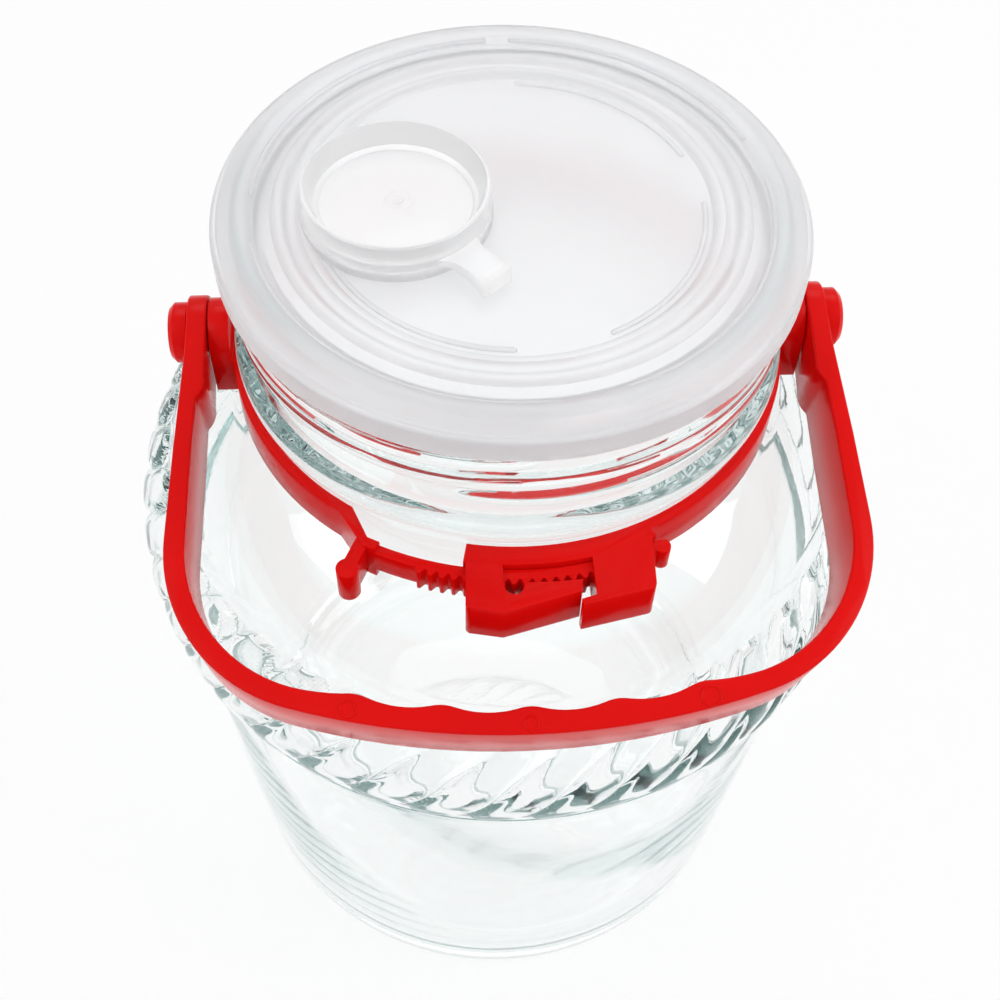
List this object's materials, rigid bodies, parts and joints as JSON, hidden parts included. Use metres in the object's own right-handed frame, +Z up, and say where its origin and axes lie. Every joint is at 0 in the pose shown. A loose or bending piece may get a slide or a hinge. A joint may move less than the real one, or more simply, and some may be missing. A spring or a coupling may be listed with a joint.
{
  "type": "glass jar with handle",
  "caption": "Wide-mouth clear glass jar with a twisted rope band, a translucent snap lid with a vent cap, and a red swinging bail handle on a ratchet neck clamp.",
  "frame": {"origin": "on the jar's axis, in the plane of its standing ring", "axes": "+Z up along the jar's axis; X is the handle's pivot axis; -Y is the front, where the handle hangs and the clamp's buckle sits"},
  "size_m": [0.1682, 0.1703, 0.2326],
  "materials": {
    "glass": "clear, moulded, glossy",
    "lid_plastic": "natural translucent, satin",
    "red_plastic": "semi-gloss"
  },
  "bodies": {
    "jar": {"jar_glass": "glass", "lid": "lid_plastic", "vent_cap": "lid_plastic", "neck_clamp": "red_plastic"},
    "handle": {"handle": "red_plastic"}
  },
  "joints": [
    {"name": "handle_swing", "type": "hinge", "parent": "jar", "child": "handle", "pos_m": [0, 0, 0.1925], "axis": [-1, 0, 0], "range_deg": [0, 213]}
  ]
}
